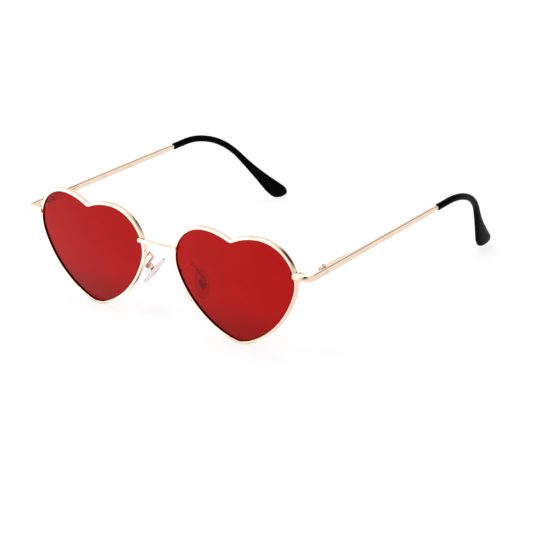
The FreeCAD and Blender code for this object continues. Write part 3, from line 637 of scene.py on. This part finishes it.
line = add_node(wire_tree, "GeometryNodeSetCurveNormal", mode="FREE", Curve=given["Line"],
                Normal=(0, 1, 0))
wire = add_node(wire_tree, "GeometryNodeCurveToMesh", Curve=line.outputs[0],
                Profile_Curve=section.outputs[0], Fill_Caps=True)
spot = add_node(wire_tree, "ShaderNodeSeparateXYZ",
                Vector=wire_tree.nodes.new("GeometryNodeInputPosition").outputs[0]).outputs
squared = calculate(wire_tree, "ADD", calculate(wire_tree, "MULTIPLY", spot["X"], spot["X"]),
                    calculate(wire_tree, "MULTIPLY", spot["Z"], spot["Z"]))
ball = calculate(wire_tree, "MULTIPLY", given["Front Radius"], given["Front Radius"])
sag = calculate(wire_tree, "SUBTRACT", given["Front Radius"],
                calculate(wire_tree, "SQRT", calculate(wire_tree, "SUBTRACT", ball, squared)))
pressed = add_node(wire_tree, "GeometryNodeSetPosition", Geometry=wire.outputs[0],
                   Offset=add_node(wire_tree, "ShaderNodeCombineXYZ", Y=sag).outputs[0])
real = add_node(wire_tree, "GeometryNodeRealizeInstances", Geometry=pressed.outputs[0])
finished = add_node(wire_tree, "GeometryNodeSetMaterial", Geometry=real.outputs[0],
                    Material=given["Finish"])
# Painted shade: faces between the groove corners get the near-black metal, standing in for the shaded
# groove.
finished = add_node(wire_tree, "GeometryNodeSetMaterial", Geometry=finished.outputs[0],
                    Material=given["Painted Shade Finish"],
                    Selection=calculate(wire_tree, "GREATER_THAN", dullness_and_painted_shade, PAINTED_SHADE_FROM))
wire_tree.links.new(finished.outputs[0], wire_tree.nodes.new("NodeGroupOutput").inputs["Wire"])
print("rim wire tree nodes:", len(wire_tree.nodes))

# %% [markdown]
# ## From a tree to a finished mesh
# A tree runs as a modifier, and its result is kept as a plain mesh, because a piece must not
# depend on a live modifier later. Every mesh made here is then put in its place on one side. The
# right side is the mirror image. Mirroring turns a mesh inside out, so its doubles are merged and its
# normals are worked out again.

# %% Helpers for finished meshes
MIRROR = Matrix.Scale(-1, 4, (1, 0, 0))
SMOOTH_ANGLE = math.radians(32)


def tree_mesh(obj, tree, inputs, values):
    """Run a Geometry Nodes tree on an object, and give its result as a plain mesh."""
    modifier = obj.modifiers.new(tree.name, "NODES")
    modifier.node_group = tree
    for socket_name, value in values.items():
        modifier[inputs[socket_name].identifier] = value
    evaluated = obj.evaluated_get(bpy.context.evaluated_depsgraph_get())
    mesh = bpy.data.meshes.new_from_object(evaluated)
    obj.modifiers.remove(modifier)
    return mesh


def finish_mesh(mesh, matrix, side):
    """Put a mesh in its place on a side, close it and turn its faces outwards."""
    mesh.transform(matrix if side > 0 else MIRROR @ matrix)
    shape = bmesh.new()
    shape.from_mesh(mesh)
    bmesh.ops.remove_doubles(shape, verts=shape.verts, dist=WELD_REACH)
    bmesh.ops.recalc_face_normals(shape, faces=shape.faces)
    for face in shape.faces:
        face.smooth = True
    open_edges = sum(not edge.is_manifold for edge in shape.edges)
    shape.to_mesh(mesh)
    shape.free()
    mesh.set_sharp_from_angle(angle=SMOOTH_ANGLE)
    return open_edges


print("edges sharper than", round(math.degrees(SMOOTH_ANGLE)), "degrees stay crisp")

# %% [markdown]
# ## Make both rims
# The tree runs on a curve object that holds the flat heart. The mesh is then turned into its
# place: wrapped a little round the face, leaning forward at the top, half of the eye spacing from
# the middle.

# %% Rims in their places
EYE_SPACING = 72.4
FRONT_RADIUS = 229.0
WRAP = math.radians(3.25)
TILT = math.radians(6.65)
RIM_EDGE = 0.25
GROOVE_FRONT, GROOVE_BACK, GROOVE_DEPTH = 0.9, 1.6, 0.5
PAD_SETBACK = 11.5
EYE_HEIGHT_OVER_PADS = 6.0249

eye_place = (Matrix.Translation(Vector((EYE_SPACING / 2 * MM, nose_seat.y - PAD_SETBACK * MM,
                                        nose_seat.z + EYE_HEIGHT_OVER_PADS * MM)))
             @ Matrix.Rotation(WRAP, 4, "Z") @ Matrix.Rotation(TILT, 4, "X"))


def make_rim(side_name):
    """One rim, drawn along the heart by the tree."""
    curve = bpy.data.curves.new(side_name + " heart line", "CURVE")
    curve.dimensions = "3D"
    spline = curve.splines.new("POLY")
    spline.points.add(len(heart) - 1)
    for spline_point, p in zip(spline.points, heart):
        spline_point.co = (p.x * MM, 0, p.y * MM, 1)
    path = add_object(side_name + " heart line", curve)
    sizes = {"Width": RIM_WIDTH, "Depth": RIM_DEPTH, "Edge": RIM_EDGE, "Groove Front": GROOVE_FRONT,
             "Groove Back": GROOVE_BACK, "Groove Depth": GROOVE_DEPTH, "Front Radius": FRONT_RADIUS}
    values = {socket_name: size * MM for socket_name, size in sizes.items()}
    # The groove faces get the near-black metal as painted shade.
    mesh = tree_mesh(path, wire_tree, wire_inputs,
                     {**values, "Finish": gold, "Painted Shade Finish": inside})
    bpy.data.objects.remove(path)
    open_edges = finish_mesh(mesh, eye_place, SIDES[side_name])
    rim = add_object(side_name + "_rim_wire", mesh)
    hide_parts(side_name + "_rim")
    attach(rim, "front")
    print(rim.name, len(mesh.polygons), "faces, open edges:", open_edges)


for side_name in SIDES:
    make_rim(side_name)

# %% [markdown]
# ## Nose pads
# A nose pad is a small cushion of clear silicone, moulded round its core: an oval that is crowned
# on both faces, a little narrower at the top, with a hairline seam round its edge where the two
# halves of the mould met. It could be a cloth simulation, but silicone does not wrinkle, so rings
# of points on a rounded section give the crowned form directly.

# %% Crowned silicone pads
PAD_LENGTH, PAD_WIDTH, PAD_THICKNESS = 12.6, 7.0, 2.2
PAD_SPLAY, PAD_PITCH, PAD_TWIST = math.radians(31.0), math.radians(26.7), math.radians(17.6)
PAD_RINGS = 28
PAD_SPOKES = 72
PAD_FULLNESS = 0.62
PAD_TAPER = 0.07
SEAM = 0.012


def pad_point(ring, spoke):
    """A point of the crowned pad, in its own frame: X thickness, Y width, Z length."""
    turn = math.pi * ring / PAD_RINGS
    spread = math.sin(turn) ** PAD_FULLNESS
    if ring != PAD_RINGS // 2:
        spread *= 1 - SEAM
    through = math.copysign(abs(math.cos(turn)) ** PAD_FULLNESS, math.cos(turn))
    around = 2 * math.pi * spoke / PAD_SPOKES
    rise = spread * math.sin(around)
    across = spread * math.cos(around) * (1 - PAD_TAPER * rise) * PAD_WIDTH / 2 / (1 + PAD_TAPER)
    return Vector((-through * PAD_THICKNESS / 2, across, rise * PAD_LENGTH / 2)) * MM


def ring_mesh(name, points, spokes, first_pole, last_pole):
    """A closed skin over rings of points, with a pole at each end."""
    last = len(points) - spokes
    first_number, last_number = len(points), len(points) + 1
    faces = []
    for spoke in range(spokes):
        beside = (spoke + 1) % spokes
        faces.append((first_number, beside, spoke))
        faces.append((last_number, last + spoke, last + beside))
        for row in range(0, last, spokes):
            faces.append((row + spoke, row + beside, row + spokes + beside, row + spokes + spoke))
    mesh = bpy.data.meshes.new(name)
    mesh.from_pydata(points + [first_pole, last_pole], [], faces)
    return mesh


def make_pad(side_name):
    """One crowned pad round its core."""
    low, high = (Vector(corner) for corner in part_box("left_nose_pad"))
    place = (Matrix.Translation((low + high) / 2) @ Matrix.Rotation(-PAD_SPLAY, 4, "Y")
             @ Matrix.Rotation(-PAD_PITCH, 4, "X") @ Matrix.Rotation(-PAD_TWIST, 4, "Z"))
    points = [pad_point(ring, spoke) for ring in range(1, PAD_RINGS) for spoke in range(PAD_SPOKES)]
    pole = Vector((PAD_THICKNESS / 2 * MM, 0, 0))
    mesh = ring_mesh(side_name + "_silicone_pad", points, PAD_SPOKES, -pole, pole)
    open_edges = finish_mesh(mesh, place, SIDES[side_name])
    pad = add_object(side_name + "_silicone_pad", mesh)
    mesh.materials.append(silicone)
    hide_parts(side_name + "_nose_pad")
    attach(pad, side_name + "_pad")
    print(pad.name, len(mesh.polygons), "faces, open edges:", open_edges)


for side_name in SIDES:
    make_pad(side_name)

# %% [markdown]
# ## Temple tips
# A temple tip is a soft black sleeve, pushed over the end of the temple. It runs straight on, bends
# down and inwards behind the ear, and widens to a paddle. Its path is one straight run and
# two arcs, and the rule of its width is plain: past the bend it grows with about the square of
# the distance. The end is turned a little, so that it rests flat on the table. Rings of points along
# the path follow these rules, as a sleeve is drawn over a bent wire.

# %% Path of the sleeve
TIP_MOUTH = Vector((1.6127, 80.5, 0))
TIP_STRAIGHT, TIP_BEND_RADIUS, TIP_FLARE_RADIUS = 7.8, 39.4, 215.0
TIP_BEND = math.radians(53.5781)
TIP_LENGTH = 78.2435
TIP_LEAN = math.radians(18.5)
TEMPLE_PITCH, TEMPLE_YAW = math.radians(1.9), math.radians(1.25)
BACK = Vector((0, 1, 0))
TIP_DOWN = Vector((-math.sin(TIP_LEAN), 0, -math.cos(TIP_LEAN)))
bend_end = TIP_STRAIGHT + TIP_BEND_RADIUS * TIP_BEND
joints = {joint["name"]: joint for joint in frame["record"]["behaviour"]["joints"]}
hinge_place = (Matrix.Translation(Vector(joints["left_fold"]["pos_m"]))
               @ Matrix.Rotation(TEMPLE_PITCH, 4, "X") @ Matrix.Rotation(TEMPLE_YAW, 4, "Z"))


def sleeve_frame(distance):
    """The middle, the run, the broad side and the thin side at a distance from the mouth."""
    straight = min(distance, TIP_STRAIGHT)
    bend = min(max(distance - TIP_STRAIGHT, 0) / TIP_BEND_RADIUS, TIP_BEND)
    turn = bend - max(distance - bend_end, 0) / TIP_FLARE_RADIUS
    along = (straight + TIP_BEND_RADIUS * math.sin(bend)
             + TIP_FLARE_RADIUS * (math.sin(bend) - math.sin(turn)))
    drop = (TIP_BEND_RADIUS * (1 - math.cos(bend))
            + TIP_FLARE_RADIUS * (math.cos(turn) - math.cos(bend)))
    ahead = BACK * math.cos(turn) + TIP_DOWN * math.sin(turn)
    broad = BACK * math.sin(turn) - TIP_DOWN * math.cos(turn)
    broad = Matrix.Rotation(-TIP_LEAN * (1 - min(distance / bend_end, 1)), 3, ahead) @ broad
    return TIP_MOUTH + BACK * along + TIP_DOWN * drop, ahead, broad, ahead.cross(broad)


print("sleeve path:", TIP_LENGTH, "mm, bend ends at", round(bend_end, 1))

# %% [markdown]
# ## Rings of the sleeve
# Each ring is a softened oval, between an ellipse and a rectangle. The first rings round the edge of
# the mouth, and the last ones close the paddle like the end of a spoon. Towards the end the rings
# lean more and more, which cuts the paddle aslant, level with the table. A small cut on their front
# edge rounds the corner there.

# %% Black sleeves
SLEEVE_WIDTH, SLEEVE_THICKNESS = 2.8, 2.3
PADDLE_WIDTH, PADDLE_THICKNESS = 10.4, 2.9
SWELL_FROM, SWELL_TO, SWELL_POWER = 39.0, 73.2, 2.1
SPOON_LENGTH, SPOON_FULLNESS = 4.6, 0.80
SLANT, SLANT_FROM = math.radians(44.0), 0.51
BACK_SWELL, BACK_SWELL_FROM = 0.42, 22.0
CORNER_CUT, CORNER_AT, CORNER_SPREAD = 0.12, 73.2, 3.0
MOUTH_ROUND = 0.3
SLEEVE_RINGS, SPOON_RINGS, SLEEVE_SPOKES = 90, 16, 40
OVAL = 2 / 2.5


def sleeve_rows():
    """Distance, width and thickness of each ring from the mouth to the end of the paddle."""
    rows = [(0.0, SLEEVE_WIDTH - MOUTH_ROUND, SLEEVE_THICKNESS - MOUTH_ROUND)]
    for i in range(SLEEVE_RINGS):
        distance = MOUTH_ROUND / 2 + (SWELL_TO - MOUTH_ROUND / 2) * i / SLEEVE_RINGS
        swell = max(distance - SWELL_FROM, 0) / (SWELL_TO - SWELL_FROM)
        thickness = SLEEVE_THICKNESS + (PADDLE_THICKNESS - SLEEVE_THICKNESS) * swell
        width = SLEEVE_WIDTH + (PADDLE_WIDTH - SLEEVE_WIDTH) * swell ** SWELL_POWER
        rows.append((distance, width, thickness))
    for i in range(SPOON_RINGS):
        reach = math.pi / 2 * i / SPOON_RINGS
        close = math.cos(reach) ** SPOON_FULLNESS
        distance = SWELL_TO + SPOON_LENGTH * math.sin(reach)
        rows.append((distance, PADDLE_WIDTH * close, PADDLE_THICKNESS * close))
    return rows


def soften(share):
    """A sine or cosine, moved so that a circle becomes a softened oval."""
    return math.copysign(abs(share) ** OVAL, share)


def sleeve_ring(distance, width, thickness):
    """The points of one ring."""
    middle, ahead, broad, thin = sleeve_frame(distance)
    slant = SLANT * (max(distance / TIP_LENGTH - SLANT_FROM, 0) / (1 - SLANT_FROM)) ** 2
    broad = broad * math.cos(slant) + ahead * math.sin(slant)
    behind = min(max((distance - BACK_SWELL_FROM) / (SWELL_TO - BACK_SWELL_FROM), 0), 1)
    middle = middle + broad * (BACK_SWELL * math.sin(math.pi * behind))
    cut = CORNER_CUT * math.exp(-((distance - CORNER_AT) / CORNER_SPREAD) ** 2)
    ring = []
    for spoke in range(SLEEVE_SPOKES):
        angle = 2 * math.pi * spoke / SLEEVE_SPOKES
        across = soften(math.cos(angle)) * width / 2
        if across < 0:
            across *= 1 - cut
        through = soften(math.sin(angle)) * thickness / 2
        ring.append((middle + broad * across + thin * through) * MM)
    return ring


def make_sleeve(side_name):
    """One black sleeve, on the temple of its side."""
    points = [p for row in sleeve_rows() for p in sleeve_ring(*row)]
    mouth, end = (sleeve_frame(distance)[0] * MM for distance in (0, SWELL_TO + SPOON_LENGTH))
    mesh = ring_mesh(side_name + "_black_sleeve", points, SLEEVE_SPOKES, mouth, end)
    open_edges = finish_mesh(mesh, hinge_place, SIDES[side_name])
    sleeve = add_object(side_name + "_black_sleeve", mesh)
    mesh.materials.append(black)
    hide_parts(side_name + "_temple_tip")
    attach(sleeve, side_name + "_temple")
    lowest = min(v.co.z for v in mesh.vertices) / MM
    print(sleeve.name, len(mesh.polygons), "faces, open edges:", open_edges,
          "lowest in mm:", round(lowest, 3))


for side_name in SIDES:
    make_sleeve(side_name)

# %% [markdown]
# ## Hinge springs
# Inside each case a small wound spring sits on the rod of the tongue, between the bush in the case
# and the collar on the rod. When the temple is pushed outwards the bush moves towards the collar
# and squeezes the spring. A spring is one wire along a spiral, which Geometry Nodes have ready
# made, so the tree is short.

# %% Tree: wound spring
SPIRAL_STEPS = 40
SPRING_SPOKES = 14

spring_tree = bpy.data.node_groups.new("wound spring", "GeometryNodeTree")
spring_inputs = {**add_inputs(spring_tree, "Float", "Turns", "Coil Radius", "Length", "Wire Radius"),
                 **add_inputs(spring_tree, "Material", "Finish")}
spring_tree.interface.new_socket(name="Spring", in_out="OUTPUT", socket_type="NodeSocketGeometry")
given = spring_tree.nodes.new("NodeGroupInput").outputs
spiral = add_node(spring_tree, "GeometryNodeCurveSpiral", Resolution=SPIRAL_STEPS,
                  Rotations=given["Turns"], Start_Radius=given["Coil Radius"],
                  End_Radius=given["Coil Radius"], Height=given["Length"])
circle = add_node(spring_tree, "GeometryNodeCurvePrimitiveCircle", Resolution=SPRING_SPOKES,
                  Radius=given["Wire Radius"])
coil = add_node(spring_tree, "GeometryNodeCurveToMesh", Curve=spiral.outputs[0],
                Profile_Curve=circle.outputs[0], Fill_Caps=True)
real = add_node(spring_tree, "GeometryNodeRealizeInstances", Geometry=coil.outputs[0])
finished = add_node(spring_tree, "GeometryNodeSetMaterial", Geometry=real.outputs[0],
                    Material=given["Finish"])
spring_tree.links.new(finished.outputs[0], spring_tree.nodes.new("NodeGroupOutput").inputs["Spring"])
print("wound spring tree nodes:", len(spring_tree.nodes))

# %% [markdown]
# ## Springs in their cases
# The spring lies along the temple, behind the hinge pin, and goes with the tongue.

# %% Springs along the temples
SPRING_TURNS = 5.0
COIL_RADIUS = 0.48
WIRE_RADIUS = 0.1
SPRING_START, SPRING_END = 5.24, 9.36


def make_spring(side_name):
    """One wound spring, on the tongue of its side."""
    side = SIDES[side_name]
    name = side_name + "_wound_spring"
    spring = add_object(name, bpy.data.meshes.new(name))
    sizes = {"Coil Radius": COIL_RADIUS, "Length": SPRING_END - SPRING_START,
             "Wire Radius": WIRE_RADIUS}
    values = {socket_name: size * MM for socket_name, size in sizes.items()}
    mesh = tree_mesh(spring, spring_tree, spring_inputs,
                     {**values, "Turns": SPRING_TURNS, "Finish": steel})
    spring.data = mesh
    along = Matrix.Translation(BACK * SPRING_START * MM) @ Matrix.Rotation(-math.pi / 2, 4, "X")
    open_edges = finish_mesh(mesh, hinge_place @ along, side)
    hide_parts(side_name + "_hinge_spring")
    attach(spring, side_name + "_tongue")
    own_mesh(spring)
    print(spring.name, len(mesh.polygons), "faces, open edges:", open_edges)


for side_name in SIDES:
    make_spring(side_name)
